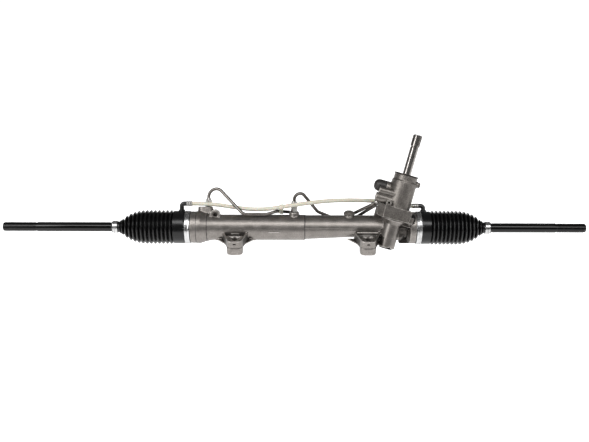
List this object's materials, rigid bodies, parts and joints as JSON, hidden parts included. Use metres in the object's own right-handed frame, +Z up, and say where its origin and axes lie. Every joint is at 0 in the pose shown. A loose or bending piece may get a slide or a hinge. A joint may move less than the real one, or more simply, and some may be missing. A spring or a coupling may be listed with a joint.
{
  "type": "power steering rack",
  "caption": "Hydraulic rack and pinion steering gear with leaning valve tower, bellows boots, transfer pipes, balance hose and ball-jointed tie rods.",
  "frame": {"origin": "midway between the two mounting bolt holes, on the lugs' seating faces", "axes": "+X along the rack towards the valve tower's end, +Y to the back, away from the lugs, +Z up along the mounting bolts"},
  "size_m": [1.104, 0.1219, 0.2104],
  "materials": {
    "cast_aluminium": "as cast, bead blasted",
    "rough_casting": "as cast, rough",
    "turned_aluminium": "turned",
    "dark_steel": "phosphated",
    "zinc_steel": "zinc plated",
    "clamp_steel": "stainless strip",
    "spring_steel": "oil tempered",
    "bearing_steel": "ground and polished",
    "machined_steel": "turned and ground",
    "ground_steel": "induction hardened and ground",
    "bare_pipe": "drawn tube",
    "rod_paint": "satin black",
    "boot_rubber": "matt",
    "black_rubber": "matt",
    "black_plastic": "matt",
    "white_plastic": "matt",
    "ring_plastic": "filled polymer",
    "cream_nylon": "smooth"
  },
  "bodies": {
    "housing": {"rack_housing": "cast_aluminium", "valve_housing": "rough_casting", "valve_housing_bolts": "dark_steel", "valve_housing_oring": "black_rubber", "cylinder_end_bush": "turned_aluminium", "end_bush_ring": "spring_steel", "outer_rack_seal": "black_rubber", "inner_rack_seal": "black_rubber", "inner_seal_washer": "turned_aluminium", "rack_yoke": "turned_aluminium", "yoke_liner": "white_plastic", "yoke_spring": "spring_steel", "yoke_plug": "turned_aluminium", "yoke_locknut": "zinc_steel", "lower_bearing_outer": "bearing_steel", "lower_bearing_balls": "bearing_steel", "upper_bearing_outer": "bearing_steel", "upper_bearing_balls": "bearing_steel", "pinion_cap": "dark_steel", "input_shaft_bearing": "bearing_steel", "input_shaft_seal": "black_rubber", "seal_snap_ring": "spring_steel", "left_cylinder_pipe": "bare_pipe", "right_cylinder_pipe": "bare_pipe", "pipe_nuts": "zinc_steel", "pipe_clip": "white_plastic", "port_cap": "black_plastic", "drilling_plug": "dark_steel", "core_plug": "zinc_steel", "left_boot": "boot_rubber", "right_boot": "boot_rubber", "large_boot_clamps": "clamp_steel", "left_vent_elbow": "black_plastic", "right_vent_elbow": "black_plastic", "balance_hose": "cream_nylon"},
    "rack": {"rack_bar": "ground_steel", "piston": "turned_aluminium", "piston_ring": "ring_plastic", "left_ball_socket": "machined_steel", "right_ball_socket": "machined_steel", "socket_lock_washers": "zinc_steel"},
    "left_cup": {"left_ball_cup": "ring_plastic"},
    "left_ring": {"left_ball_ring": "ring_plastic", "left_small_clamp": "clamp_steel"},
    "left_rod": {"left_tie_rod": "rod_paint"},
    "right_cup": {"right_ball_cup": "ring_plastic"},
    "right_ring": {"right_ball_ring": "ring_plastic", "right_small_clamp": "clamp_steel"},
    "right_rod": {"right_tie_rod": "rod_paint"},
    "pinion": {"pinion": "machined_steel", "lower_bearing_inner": "bearing_steel", "upper_bearing_inner": "bearing_steel", "pinion_nut": "zinc_steel", "valve_sleeve": "machined_steel", "valve_sleeve_rings": "ring_plastic", "torsion_bar": "spring_steel"},
    "input_shaft": {"input_shaft": "machined_steel", "torsion_bar_pin": "spring_steel"}
  },
  "joints": [
    {"name": "rack_slide", "type": "slide", "parent": "housing", "child": "rack", "axis": [1, 0, 0], "range_m": [-0.07, 0.07], "deforming": ["left_boot", "right_boot"]},
    {"name": "pinion_turn", "type": "hinge", "parent": "housing", "child": "pinion", "pos_m": [0.168, 0.02617, 0.03438], "axis": [0.2672, 0.4072, 0.8733], "range_deg": [-520, 520]},
    {"name": "valve_twist", "type": "hinge", "parent": "pinion", "child": "input_shaft", "pos_m": [0.168, 0.02617, 0.03438], "axis": [0.2672, 0.4072, 0.8733], "range_deg": [-7, 7], "stiffness_Nm_per_rad": 90, "deforming": ["torsion_bar"]},
    {"name": "left_rod_lift", "type": "hinge", "parent": "rack", "child": "left_cup", "pos_m": [-0.305, 0.042, 0.027], "axis": [0, 1, 0], "range_deg": [-20, 20]},
    {"name": "left_rod_swing", "type": "hinge", "parent": "left_cup", "child": "left_ring", "pos_m": [-0.305, 0.042, 0.027], "axis": [0, 0, 1], "range_deg": [-20, 20]},
    {"name": "left_rod_spin", "type": "hinge", "parent": "left_ring", "child": "left_rod", "pos_m": [-0.305, 0.042, 0.027], "axis": [1, 0, 0], "continuous": true},
    {"name": "right_rod_lift", "type": "hinge", "parent": "rack", "child": "right_cup", "pos_m": [0.305, 0.042, 0.027], "axis": [0, 1, 0], "range_deg": [-20, 20]},
    {"name": "right_rod_swing", "type": "hinge", "parent": "right_cup", "child": "right_ring", "pos_m": [0.305, 0.042, 0.027], "axis": [0, 0, 1], "range_deg": [-20, 20]},
    {"name": "right_rod_spin", "type": "hinge", "parent": "right_ring", "child": "right_rod", "pos_m": [0.305, 0.042, 0.027], "axis": [1, 0, 0], "continuous": true}
  ],
  "couplings": [
    {"joint": "pinion_turn", "follows": "rack_slide", "rad_per_m": -129.58}
  ]
}
